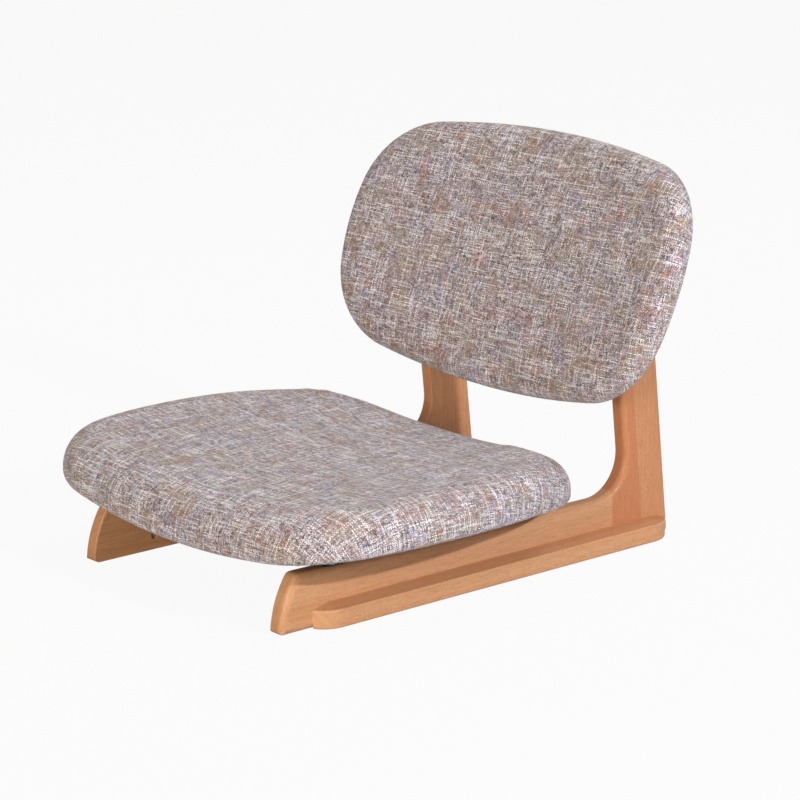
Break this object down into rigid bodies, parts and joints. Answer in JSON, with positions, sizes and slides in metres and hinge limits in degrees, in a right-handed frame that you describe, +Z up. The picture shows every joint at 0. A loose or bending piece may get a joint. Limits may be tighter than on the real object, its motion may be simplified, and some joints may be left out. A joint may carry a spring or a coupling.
{
  "type": "floor chair",
  "caption": "Legless floor chair with two L-shaped laminated wood side frames, a dished upholstered seat and a dished upholstered back.",
  "frame": {"origin": "on the floor, in the middle of the chair's width and depth", "axes": "+Z up, -Y the way the sitter faces, +X to the right for someone facing the chair"},
  "size_m": [0.489, 0.5361, 0.4063],
  "materials": {
    "beech": "satin",
    "ply": "matte",
    "upholstery": "matte",
    "foam": "matte",
    "dust_cloth": "matte",
    "black_steel": "satin",
    "zinc_steel": "satin"
  },
  "bodies": {
    "root": {"right_rail": "beech", "right_post_front_stave": "beech", "right_post_rear_stave": "beech", "right_runner": "beech", "left_rail": "beech", "left_post_front_stave": "beech", "left_post_rear_stave": "beech", "left_runner": "beech", "post_dowels": "beech", "runner_screws": "zinc_steel", "front_seat_strap": "black_steel", "rear_seat_strap": "black_steel", "strap_screws": "zinc_steel", "seat_shell": "ply", "seat_foam": "foam", "seat_cover": "upholstery", "seat_dust_cover": "dust_cloth", "seat_bolts": "zinc_steel", "seat_washers": "zinc_steel", "seat_inserts": "zinc_steel", "back_shell": "ply", "back_foam": "foam", "back_cover": "upholstery", "back_rear_panel": "upholstery", "back_bolts": "zinc_steel", "back_washers": "zinc_steel", "back_inserts": "zinc_steel"}
  },
  "joints": []
}
